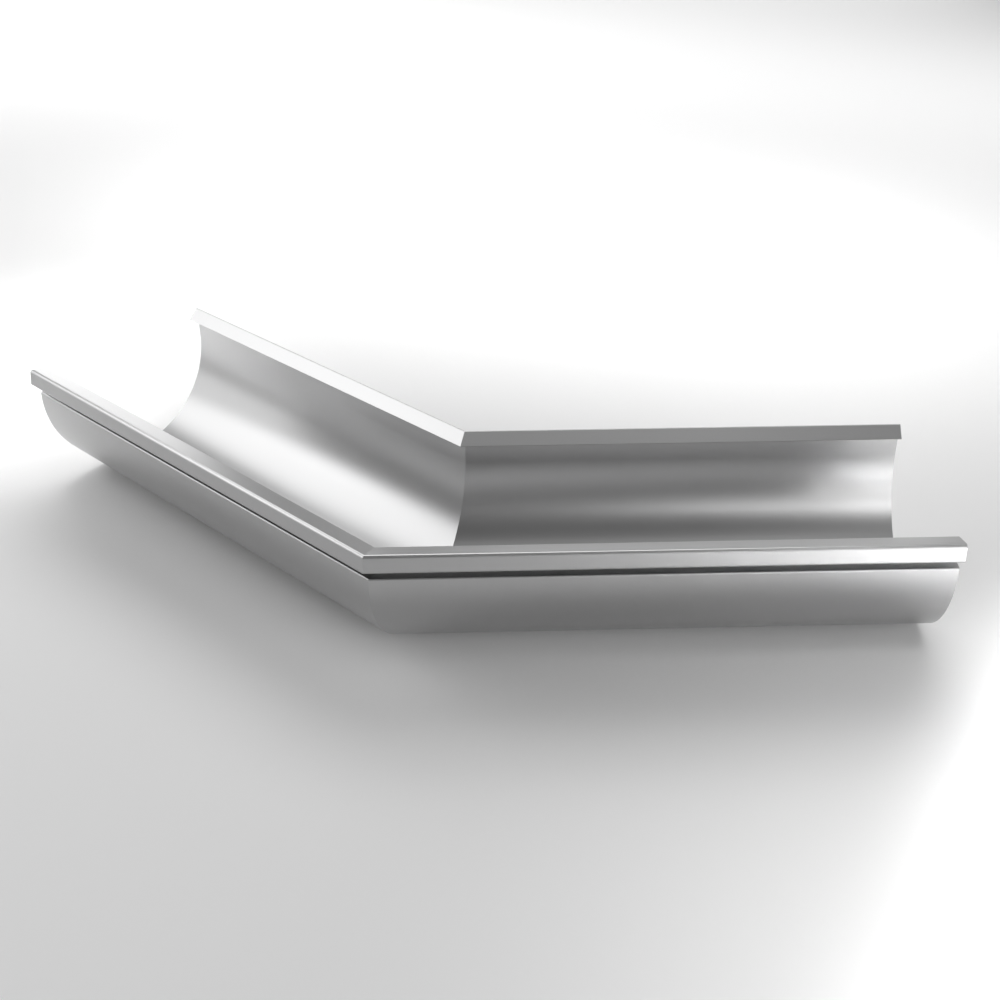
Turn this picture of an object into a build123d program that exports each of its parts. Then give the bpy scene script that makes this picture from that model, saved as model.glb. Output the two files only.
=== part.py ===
"""External angle for a half-round steel gutter: two mitred legs that meet at 135 degrees.

One piece of folded sheet steel. The trough is a half round with a straight back wall. The back
edge is folded in and down. The front edge carries a box-shaped bead that stands on a ledge, so
that a groove is left under the bead for the noses of the gutter brackets.

+Z is up, -Y is the front, where the bead is, and +Y is the side of the building's corner.
The part is the same on both sides of the plane X = 0, which is the mitre.
"""
from build123d import *
import os
from math import cos, radians, sin, tan

# Driving dimensions, in millimetres and degrees.
trough_diameter = 150.0     # outside width of the half-round trough
sheet = 0.6                 # thickness of the steel
leg_length = 336.0          # along the trough's centre line, from the mitre to the open end
corner_angle = 135.0        # between the legs, on the building's side
bend_radius = 1.2           # to the middle of the sheet, at every bend but the back fold and the bead's outer one

back_rise = 26.0            # back edge above the trough's centre, before its fold is rounded
fold_radius = 0.7           # of that tight fold, to the middle of the sheet
lip_reach = 8.7             # how far the folded back edge comes in, from the wall's outside
lip_drop = 8.8              # how far it comes down

ledge_rise = 4.4            # ledge under the bead, above the trough's centre
groove_depth = 10.6         # from the trough's outside in to the bead's inner wall
groove_height = 8.0         # from the ledge up to the underside of the bead
bead_inner_rise = 21.0      # bead's top at its inner wall, above the trough's centre
bead_outer_rise = 25.1      # bead's top at its outer corner, before the corner is rounded
bead_overhang = 5.3         # bead's outer corner beyond the trough's outside
bead_lean = 1.4             # how much further out the face stands at its foot
bead_corner_radius = 2.0    # outer bend of the bead, to the middle of the sheet
hem_gap = 2.0               # left open between the bead's tucked edge and its inner wall

# Worked out from the above, all to the middle of the sheet.
half_sheet = sheet / 2
trough_radius = trough_diameter / 2 - half_sheet
back_top = back_rise - half_sheet
lip_tip_x = -trough_diameter / 2 + lip_reach
ledge_y = ledge_rise - half_sheet
bead_wall_x = trough_diameter / 2 - groove_depth - half_sheet
bead_corner_x = trough_diameter / 2 + bead_overhang - half_sheet
bead_foot_x = bead_corner_x + bead_lean
bead_foot_y = ledge_rise + groove_height + half_sheet
tuck_x = bead_wall_x + half_sheet + hem_gap

# The right leg runs from the open end to the mitre, which halves the corner angle.
turn = radians(90 - corner_angle / 2)
leg_way = Vector(cos(turn), sin(turn), 0)
front_way = Vector(sin(turn), -cos(turn), 0)
overrun = (bead_foot_x + sheet) * tan(turn)
leg_end = Plane(origin=leg_way * leg_length, x_dir=front_way, z_dir=leg_way * -1)

with BuildPart() as gutter_angle:
    # The sheet's section, seen with the front to the right.
    with BuildSketch(leg_end) as section:
        with BuildLine() as sheet_line:
            FilletPolyline(
                (lip_tip_x, back_rise - lip_drop),
                (-trough_radius, back_top),
                (-trough_radius, 0),
                radius=fold_radius,
            )
            CenterArc((0, 0), trough_radius, 180, 180)
            FilletPolyline(
                (trough_radius, 0),
                (trough_radius, ledge_y),
                (bead_wall_x, ledge_y),
                (bead_wall_x, bead_inner_rise - half_sheet),
                (bead_corner_x, bead_outer_rise - half_sheet),
                (bead_foot_x, bead_foot_y),
                (tuck_x, bead_foot_y),
                radius=[bend_radius, bend_radius, bend_radius, bead_corner_radius, bend_radius],
            )
        trace(line_width=sheet)
    extrude(amount=leg_length + overrun)
    split(bisect_by=Plane.YZ, keep=Keep.TOP)
    mirror(about=Plane.YZ)

# Stand it on the floor, with the origin under the middle of its box.
box = gutter_angle.part.bounding_box()
footing = Location((0, -box.center().Y, -box.min.Z))
gutter_angle.part = gutter_angle.part.moved(footing)
gutter_angle.part.label = "gutter_angle"

os.makedirs("parts", exist_ok=True)
export_step(gutter_angle.part, "parts/gutter_angle.step")
print("faces", len(gutter_angle.part.faces()), "volume", round(gutter_angle.part.volume, 1))
print("box", gutter_angle.part.bounding_box())
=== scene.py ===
"""A half-round gutter angle for an outside corner, folded from zinc-coated steel, on a pale studio floor.

One leg's strip is folded, given its thickness, cut at the mitre and mirrored, so the two legs are one piece.
"""
from math import cos, pi, radians, sin, tan

import bmesh
import bpy
from mathutils import Matrix, Vector


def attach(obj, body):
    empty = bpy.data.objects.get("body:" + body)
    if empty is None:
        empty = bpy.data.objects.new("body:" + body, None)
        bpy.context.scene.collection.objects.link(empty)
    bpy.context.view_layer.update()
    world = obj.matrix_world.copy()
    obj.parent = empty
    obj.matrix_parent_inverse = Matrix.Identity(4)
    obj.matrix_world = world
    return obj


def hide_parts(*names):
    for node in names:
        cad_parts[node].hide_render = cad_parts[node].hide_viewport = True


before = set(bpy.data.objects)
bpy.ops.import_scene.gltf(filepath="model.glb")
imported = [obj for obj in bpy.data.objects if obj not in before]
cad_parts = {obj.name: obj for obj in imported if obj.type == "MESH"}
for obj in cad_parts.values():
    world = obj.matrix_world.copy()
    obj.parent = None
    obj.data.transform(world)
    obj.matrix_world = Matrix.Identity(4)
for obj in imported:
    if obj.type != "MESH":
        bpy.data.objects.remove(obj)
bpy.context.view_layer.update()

bl_info = {
    "name": "Gutter External Angle",
    "version": (1, 0, 0),
    "blender": (4, 5, 0),
    "location": "3D View > Sidebar > Gutter",
    "description": "Folds a half-round gutter angle from sheet steel and lights it in a studio",
    "category": "Add Mesh",
}

# How finely the bends are divided.
TROUGH_STEPS = 96
FOLD_STEPS = 10
BEND_STEPS = 6

# Points nearer to each other than this, in metres, are the same one. A cut looks less far for
# points that it goes through, and a mirror further for points that meet their image.
SAME_POINT = 1e-6
CUT_REACH = 1e-7
MIRROR_REACH = 1e-5

# Faces that meet at more than this keep a sharp edge between them.
SHARP_BEND = radians(40)

# The floor ends just past the furthest part of it that the camera sees.
FLOOR_RADIUS = 2.05
FLOOR_SIDES = 128
FLOOR_ROUGHNESS = 0.9

# Softboxes face a point over the origin from this far away.
SOFTBOX_DISTANCE = 2.0
AIM_HEIGHT = 0.05

# Name, azimuth and elevation in degrees, width and height in metres, glow.
SOFTBOXES = (
    ("left_high", -96, 38, 1.3, 1.2, 2.18),
    ("left_middle", -112, 24, 0.8, 0.5, 0.86),
    ("left_low", -96, 9, 1.5, 0.5, 1.15),
    ("back_left_high", -42, 42, 1.0, 0.8, 2.36),
    ("back_left_low", -42, 7, 0.8, 0.4, 3.10),
    ("back_low", -8, 5, 1.0, 0.35, 0.96),
    ("back_top", 0, 60, 1.3, 1.2, 2.09),
    ("right_high", 105, 55, 1.2, 0.7, 0.34),
    ("right_middle", 118, 24, 1.9, 0.4, 2.80),
    ("right_low", 110, 7, 1.5, 0.35, 5.75),
    ("front_top", 145, 66, 1.0, 0.6, 0.69),
)

# Name, place, width and depth in metres, spread in degrees, glow.
FLOOR_WASHES = (
    ("right_wash", (0.62, -0.30, 0.7), 0.35, 0.35, 60, 2.00),
    ("right_front_wash", (0.70, -0.38, 0.6), 0.3, 0.3, 50, 14.2),
    ("right_end_wash", (0.58, -0.06, 0.45), 0.2, 0.25, 45, 8.50),
    ("left_end_wash", (-0.50, 0.14, 0.5), 0.2, 0.2, 50, 2.06),
    ("back_wash", (-0.1, 0.60, 0.8), 0.9, 0.4, 55, 1.00),
    ("far_wash", (-0.4, 1.35, 0.9), 2.6, 0.8, 70, 0.45),
)


def length(name, description, default):
    """A property for a length in metres."""
    return bpy.props.FloatProperty(
        name=name, description=description, default=default, min=0.0, precision=5,
        unit="LENGTH", subtype="DISTANCE",
    )


def share(name, description, default):
    """A property for a share between nothing and all."""
    return bpy.props.FloatProperty(
        name=name, description=description, default=default, min=0.0, max=1.0, subtype="FACTOR"
    )


def colour(name, description, default):
    """A property for a colour."""
    return bpy.props.FloatVectorProperty(
        name=name, description=description, default=default, size=3, min=0.0, max=1.0, subtype="COLOR"
    )


def angle(name, description, default):
    """A property for an angle."""
    return bpy.props.FloatProperty(
        name=name, description=description, default=default, unit="ROTATION", subtype="ANGLE"
    )


class GutterSizes(bpy.types.PropertyGroup):
    """Sizes of the folded sheet."""

    trough_diameter: length("Trough Diameter", "Outside width of the half-round trough", 0.150)
    sheet: length("Sheet", "Thickness of the steel", 0.0006)
    leg_length: length("Leg Length", "From the mitre to the open end, along the centre line", 0.336)
    corner_angle: angle("Corner Angle", "Between the legs, on the building's side", radians(135))
    bend_radius: length("Bend Radius", "To the middle of the sheet, at the small bends", 0.0012)
    back_rise: length("Back Rise", "Back edge above the trough's centre, before it is rounded", 0.0260)
    fold_radius: length("Fold Radius", "To the middle of the sheet, at the back edge's fold", 0.0007)
    lip_reach: length("Lip Reach", "How far the folded back edge comes in", 0.0087)
    lip_drop: length("Lip Drop", "How far the folded back edge comes down", 0.0088)
    ledge_rise: length("Ledge Rise", "Ledge under the bead, above the trough's centre", 0.0044)
    groove_depth: length("Groove Depth", "From the trough's outside in to the bead's wall", 0.0106)
    groove_height: length("Groove Height", "From the ledge up to the underside of the bead", 0.0080)
    bead_inner_rise: length("Bead Inner Rise", "Bead's top at its inner wall", 0.0210)
    bead_outer_rise: length("Bead Outer Rise", "Bead's top at its outer corner", 0.0251)
    bead_overhang: length("Bead Overhang", "Bead's outer corner beyond the trough's outside", 0.0053)
    bead_lean: length("Bead Lean", "How much further out the bead's face stands at its foot", 0.0014)
    bead_corner_radius: length("Bead Corner Radius", "To the middle of the sheet, at the outer bend", 0.0020)
    hem_gap: length("Hem Gap", "Left open beside the bead's tucked edge", 0.0020)


class SteelFinish(bpy.types.PropertyGroup):
    """Looks of the zinc-coated steel."""

    steel: colour("Steel", "Colour of the clean coating", (0.46, 0.46, 0.462))
    roughness: share("Roughness", "How soft the reflections are", 0.30)
    grain_depth: share("Grain Depth", "How deep the fine grain across the strip is", 0.02)


class StudioLook(bpy.types.PropertyGroup):
    """Floor, light from all round, and camera."""

    floor: colour("Floor", "Colour of the floor", (0.85, 0.85, 0.85))
    horizon: colour("Horizon", "Light from low down, all round", (0.50, 0.50, 0.50))
    zenith: colour("Zenith", "Light from straight above", (0.02, 0.02, 0.02))
    place: bpy.props.FloatVectorProperty(
        name="Place", description="Where the camera stands", default=(0.334568, -0.797826, 0.589193),
        size=3, precision=5, unit="LENGTH", subtype="TRANSLATION",
    )
    azimuth: angle("Azimuth", "Way the camera looks, from +Y towards -X", radians(20.54))
    elevation: angle("Elevation", "How far the camera looks down", radians(31.542))
    lens: bpy.props.FloatProperty(
        name="Lens", description="Focal length for the sensor's width", default=52.455, unit="CAMERA"
    )
    sensor_width: bpy.props.FloatProperty(
        name="Sensor Width", description="Width of the camera's sensor", default=36.0, unit="CAMERA"
    )


class Socket:
    """An output of a shader's node, so that Python expressions on numbers add Math nodes."""

    def __init__(self, shading, output):
        self.shading = shading
        self.output = output

    def _math(self, operation, *numbers):
        return self.shading.node("Math", {"operation": operation}, dict(enumerate(numbers)))

    def __add__(self, other):
        return self._math("ADD", self, other)

    def __radd__(self, other):
        return self._math("ADD", other, self)

    def __sub__(self, other):
        return self._math("SUBTRACT", self, other)

    def __rsub__(self, other):
        return self._math("SUBTRACT", other, self)

    def __mul__(self, other):
        return self._math("MULTIPLY", self, other)

    def __rmul__(self, other):
        return self._math("MULTIPLY", other, self)

    def __abs__(self):
        return self._math("ABSOLUTE", self)

    def sign(self):
        """1 for a positive number and -1 for a negative one."""
        return self._math("SIGN", self)


class Shading:
    """The nodes of a material or a world, which are added one by one and end in its shader."""

    def __init__(self, owner, shader):
        owner.use_nodes = True
        self.owner = owner
        self.tree = owner.node_tree
        self.shader = self.tree.nodes[shader]

    def node(self, kind, settings, values, output=0):
        """Adds a node, sets it, fills or links its sockets and returns one of its outputs."""
        made = self.tree.nodes.new("ShaderNode" + kind)
        for key, value in settings.items():
            setattr(made, key, value)
        self.feed(made, values)
        return Socket(self, made.outputs[output])

    def feed(self, node, values):
        """Links a node's sockets to values from other nodes, or sets them to plain ones."""
        for key, value in values.items():
            socket = node.inputs[key]
            if isinstance(value, Socket):
                self.tree.links.new(value.output, socket)
            else:
                socket.default_value = value

    def fade(self, amount, first, second):
        """A colour that turns from the first into the second as the amount goes from 0 to 1."""
        # A Mix node numbers its sockets for colours after those for numbers and vectors.
        return self.node("Mix", {"data_type": "RGBA"}, {0: amount, 6: (*first, 1.0), 7: (*second, 1.0)}, 2)


def noise(shading, place, along_rate, across_rate, detail):
    """Noise on a leg's strip, with a rate of change a metre along the strip and another across it."""
    along, across, height = place
    stretched = {0: along * along_rate, 1: across * across_rate, 2: height * across_rate}
    vector = shading.node("CombineXYZ", {}, stretched)
    return shading.node("TexNoise", {}, {"Vector": vector, "Scale": 1.0, "Detail": detail})


def zinc_coated_steel(look, turn):
    """Satin steel with fine grain across the strip and slow changes of sheen along it."""
    finish = Shading(bpy.data.materials.new("zinc_coated_steel"), "Principled BSDF")
    point = finish.node("TexCoord", {}, {}, "Object")
    x, y, z = (finish.node("SeparateXYZ", {}, {0: point}, axis) for axis in "XYZ")

    # Both legs are measured from the mitre, and are moved apart so that neither copies the other.
    legs_apart = 3.0
    along = abs(x) * cos(turn) + y * sin(turn) + x.sign() * legs_apart
    across = abs(x) * sin(turn) - y * cos(turn)
    place = (along, across, z)
    grain = noise(finish, place, along_rate=420.0, across_rate=5.0, detail=1.0)
    cloud = noise(finish, place, along_rate=6.0, across_rate=14.0, detail=2.0)

    cloud_share, grain_share = 0.75, 0.25
    dullest = 0.94
    dull = [dullest * channel for channel in look.steel]
    tone = finish.fade(cloud_share * cloud + grain_share * grain, dull, look.steel)

    # A noise lies about its middle value, so the mean roughness stays as the look says.
    middle = 0.5
    cloud_softening, grain_softening = 0.06, 0.012
    roughness = look.roughness + (cloud - middle) * cloud_softening + (grain - middle) * grain_softening

    grain_height = 0.00005
    bump = finish.node("Bump", {}, {"Strength": look.grain_depth, "Distance": grain_height, "Height": grain})
    finish.feed(finish.shader, {"Base Color": tone, "Metallic": 1.0, "Roughness": roughness, "Normal": bump})
    return finish.owner


def new_object(context, name, bm):
    """Makes an object of a bmesh, which is freed."""
    mesh = bpy.data.meshes.new(name)
    bm.to_mesh(mesh)
    bm.free()
    made = bpy.data.objects.new(name, mesh)
    context.scene.collection.objects.link(made)
    return made


def run_on(bm, vert, points):
    """Lengthens a wire from its end through points given as (front, height) and returns its new end."""
    for front, height in points:
        vert = bmesh.ops.extrude_vert_indiv(bm, verts=[vert])["verts"][0]
        vert.co.y = -front
        vert.co.z = height
    return vert


def round_bend(bm, bend, radius):
    """Rounds the long edge that runs through a section point."""
    front, height = bend
    corner = Vector((-front, height))
    edge = next(
        e for e in bm.edges
        if len(e.link_faces) == 2 and all((v.co.yz - corner).length < SAME_POINT for v in e.verts)
    )
    offset = radius * tan(edge.calc_face_angle() / 2)
    bmesh.ops.bevel(
        bm, geom=[edge], offset=offset, offset_type="OFFSET", affect="EDGES", segments=BEND_STEPS,
        profile=0.5, material=-1,
    )


def leg_strip(size):
    """The middle of one leg's sheet, folded to the section, along +X with its front to -Y."""
    half = size.sheet / 2
    radius = size.trough_diameter / 2 - half
    wall = size.trough_diameter / 2 - size.groove_depth - half
    corner = size.trough_diameter / 2 + size.bead_overhang - half
    foot = corner + size.bead_lean
    underside = size.ledge_rise + size.groove_height + half

    # The section's points, as (front, height).
    crease = (radius, size.ledge_rise - half)
    ledge = (wall, size.ledge_rise - half)
    inner = (wall, size.bead_inner_rise - half)
    outer = (corner, size.bead_outer_rise - half)
    toe = (foot, underside)
    tuck = (wall + half + size.hem_gap, underside)
    back = Vector((-radius, size.back_rise - half))
    lip = Vector((size.lip_reach - size.trough_diameter / 2, size.back_rise - size.lip_drop))

    bm = bmesh.new()
    start = bmesh.ops.create_vert(bm, co=(size.leg_length, radius, 0))["vert"][0]
    trough = bmesh.ops.spin(
        bm, geom=[start], cent=(size.leg_length, 0, 0), axis=(-1, 0, 0), angle=pi, steps=TROUGH_STEPS
    )
    run_on(bm, trough["geom_last"][0], [crease, ledge, inner, outer, toe, tuck])

    # The back edge turns through more than a right angle, on a true arc.
    up = Vector((0, 1))
    swing = up.angle(lip - back)
    fold_start = back.y - size.fold_radius * tan(swing / 2)
    wall_top = run_on(bm, start, [(back.x, fold_start)])
    fold = bmesh.ops.spin(
        bm, geom=[wall_top], cent=(size.leg_length, radius - size.fold_radius, fold_start),
        axis=(1, 0, 0), angle=swing, steps=FOLD_STEPS,
    )
    run_on(bm, fold["geom_last"][0], [lip])

    # The strip runs on past the mitre, where it is cut later.
    overrun = (foot + size.sheet) * tan(pi / 2 - size.corner_angle / 2)
    strip = bmesh.ops.extrude_edge_only(bm, edges=bm.edges[:])["geom"]
    ends = [g for g in strip if isinstance(g, bmesh.types.BMVert)]
    bmesh.ops.translate(bm, vec=(-size.leg_length - overrun, 0, 0), verts=ends)
    for bend in (crease, ledge, inner, toe):
        round_bend(bm, bend, size.bend_radius)
    round_bend(bm, outer, size.bead_corner_radius)
    return bm


def thickened(context, bm, sheet):
    """Gives a folded strip its thickness, half to each side."""
    strip = new_object(context, "strip", bm)
    solid = strip.modifiers.new("sheet", "SOLIDIFY")
    solid.thickness = sheet
    solid.offset = 0.0
    solid.use_even_offset = True
    seen = strip.evaluated_get(context.evaluated_depsgraph_get())
    result = bmesh.new()
    result.from_mesh(seen.to_mesh())
    seen.to_mesh_clear()
    mesh = strip.data
    bpy.data.objects.remove(strip)
    bpy.data.meshes.remove(mesh)
    return result


def everything(bm):
    """All that a bmesh holds, for the operators that ask for it."""
    return bm.verts[:] + bm.edges[:] + bm.faces[:]


def mitre_and_mirror(bm, turn):
    """Turns one leg to its place, cuts it at the mitre and mirrors it as the other leg."""
    bmesh.ops.rotate(bm, cent=(0, 0, 0), matrix=Matrix.Rotation(turn, 3, "Z"), verts=bm.verts)
    bmesh.ops.bisect_plane(
        bm, geom=everything(bm), dist=CUT_REACH, plane_co=(0, 0, 0), plane_no=(1, 0, 0), clear_inner=True
    )
    bmesh.ops.mirror(bm, geom=everything(bm), axis="X", merge_dist=MIRROR_REACH)
    bmesh.ops.remove_doubles(bm, verts=bm.verts, dist=SAME_POINT)
    bmesh.ops.recalc_face_normals(bm, faces=bm.faces)


def stand_on_floor(bm):
    """Moves a shape onto the floor, with the origin under the middle of its box."""
    ys = [v.co.y for v in bm.verts]
    low = min(v.co.z for v in bm.verts)
    bmesh.ops.translate(bm, vec=(0, -(min(ys) + max(ys)) / 2, -low), verts=bm.verts)


def smooth_bends(bm):
    """Shades the faces smooth, and keeps the mitre and the sheet's cut edges sharp."""
    for face in bm.faces:
        face.smooth = True
    for edge in bm.edges:
        on_mitre = all(abs(v.co.x) < SAME_POINT for v in edge.verts)
        edge.smooth = not on_mitre and edge.calc_face_angle(0.0) < SHARP_BEND


class GUTTER_OT_fold_angle(bpy.types.Operator):
    """Fold the gutter angle from one sheet: a leg, cut at the mitre and mirrored."""

    bl_idname = "gutter.fold_angle"
    bl_label = "Fold Gutter Angle"

    def execute(self, context):
        size = context.scene.gutter_sizes
        turn = pi / 2 - size.corner_angle / 2
        bm = thickened(context, leg_strip(size), size.sheet)
        mitre_and_mirror(bm, turn)
        stand_on_floor(bm)
        smooth_bends(bm)

        piece = new_object(context, "gutter_sheet", bm)
        normals = piece.modifiers.new("flat faces", "WEIGHTED_NORMAL")
        normals.keep_sharp = True
        piece.data.materials.append(zinc_coated_steel(context.scene.steel_finish, turn))
        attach(piece, "root")
        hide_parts("gutter_angle")
        return {"FINISHED"}


def lit_panel(context, name, width, height, glow):
    """A soft rectangular light that the camera doesn't see.

    The glow is the brightness of its face, so a larger panel gives more light.
    """
    lamp = bpy.data.lights.new(name, "AREA")
    lamp.shape = "RECTANGLE"
    lamp.size = width
    lamp.size_y = height
    lamp.energy = glow * pi * width * height
    light = bpy.data.objects.new(name, lamp)
    light.visible_camera = False
    context.scene.collection.objects.link(light)
    return light


def softbox(context, name, azimuth, elevation, width, height, glow):
    """A panel that faces the part, placed by degrees from +Y towards +X and up from the floor."""
    light = lit_panel(context, name, width, height, glow)
    turn, rise = radians(azimuth), radians(elevation)
    way = Vector((sin(turn) * cos(rise), cos(turn) * cos(rise), sin(rise)))
    light.location = way * SOFTBOX_DISTANCE + Vector((0, 0, AIM_HEIGHT))
    light.rotation_euler = (pi / 2 - rise, 0.0, pi - turn)


def floor_wash(context, name, place, width, depth, spread, glow):
    """A panel with a grid over the floor, which faces straight down and brightens only what is under it."""
    light = lit_panel(context, name, width, depth, glow)
    light.data.spread = radians(spread)
    light.location = place


class GUTTER_OT_set_studio(bpy.types.Operator):
    """Lay a pale floor, set the soft lights and aim the camera."""

    bl_idname = "gutter.set_studio"
    bl_label = "Set Studio"

    def lay_floor(self, context, look):
        """A plain matt disc under the part."""
        bm = bmesh.new()
        bmesh.ops.create_circle(bm, cap_ends=True, segments=FLOOR_SIDES, radius=FLOOR_RADIUS)
        floor = new_object(context, "studio_floor", bm)
        matt = Shading(bpy.data.materials.new("studio_floor"), "Principled BSDF")
        matt.feed(matt.shader, {"Base Color": (*look.floor, 1.0), "Roughness": FLOOR_ROUGHNESS})
        floor.data.materials.append(matt.owner)

    def light_all_round(self, context, look):
        """Light that dims slowly from the horizon to straight above."""
        sky = Shading(bpy.data.worlds.new("studio"), "Background")
        way = sky.node("TexCoord", {}, {}, "Generated")
        height = sky.node("SeparateXYZ", {}, {0: way}, "Z")
        sky.feed(sky.shader, {"Color": sky.fade(height, look.horizon, look.zenith)})
        context.scene.world = sky.owner

    def aim_camera(self, context, look):
        """The photograph's place, angle and lens."""
        lens = bpy.data.cameras.new("photo_camera")
        lens.sensor_width = look.sensor_width
        lens.lens = look.lens
        camera = bpy.data.objects.new("photo_camera", lens)
        camera.location = look.place
        camera.rotation_euler = (pi / 2 - look.elevation, 0.0, look.azimuth)
        context.scene.collection.objects.link(camera)
        context.scene.camera = camera
        context.scene.view_settings.view_transform = "Standard"

    def execute(self, context):
        look = context.scene.studio_look
        self.lay_floor(context, look)
        self.light_all_round(context, look)
        for panel in SOFTBOXES:
            softbox(context, *panel)
        for panel in FLOOR_WASHES:
            floor_wash(context, *panel)
        self.aim_camera(context, look)
        return {"FINISHED"}


class GUTTER_PT_panel(bpy.types.Panel):
    """Sizes and looks of the gutter angle."""

    bl_idname = "GUTTER_PT_panel"
    bl_label = "Gutter Angle"
    bl_space_type = "VIEW_3D"
    bl_region_type = "UI"
    bl_category = "Gutter"

    def draw(self, context):
        scene = context.scene
        for group in (scene.gutter_sizes, scene.steel_finish, scene.studio_look):
            box = self.layout.box()
            for name in type(group).__annotations__:
                box.prop(group, name)
        self.layout.operator(GUTTER_OT_fold_angle.bl_idname)
        self.layout.operator(GUTTER_OT_set_studio.bl_idname)


classes = (
    GutterSizes, SteelFinish, StudioLook, GUTTER_OT_fold_angle, GUTTER_OT_set_studio, GUTTER_PT_panel,
)


def register():
    for cls in classes:
        bpy.utils.register_class(cls)
    bpy.types.Scene.gutter_sizes = bpy.props.PointerProperty(type=GutterSizes)
    bpy.types.Scene.steel_finish = bpy.props.PointerProperty(type=SteelFinish)
    bpy.types.Scene.studio_look = bpy.props.PointerProperty(type=StudioLook)


def unregister():
    del bpy.types.Scene.studio_look
    del bpy.types.Scene.steel_finish
    del bpy.types.Scene.gutter_sizes
    for cls in reversed(classes):
        bpy.utils.unregister_class(cls)


def main():
    register()
    bpy.ops.gutter.fold_angle()
    bpy.ops.gutter.set_studio()


if __name__ == "__main__":
    main()
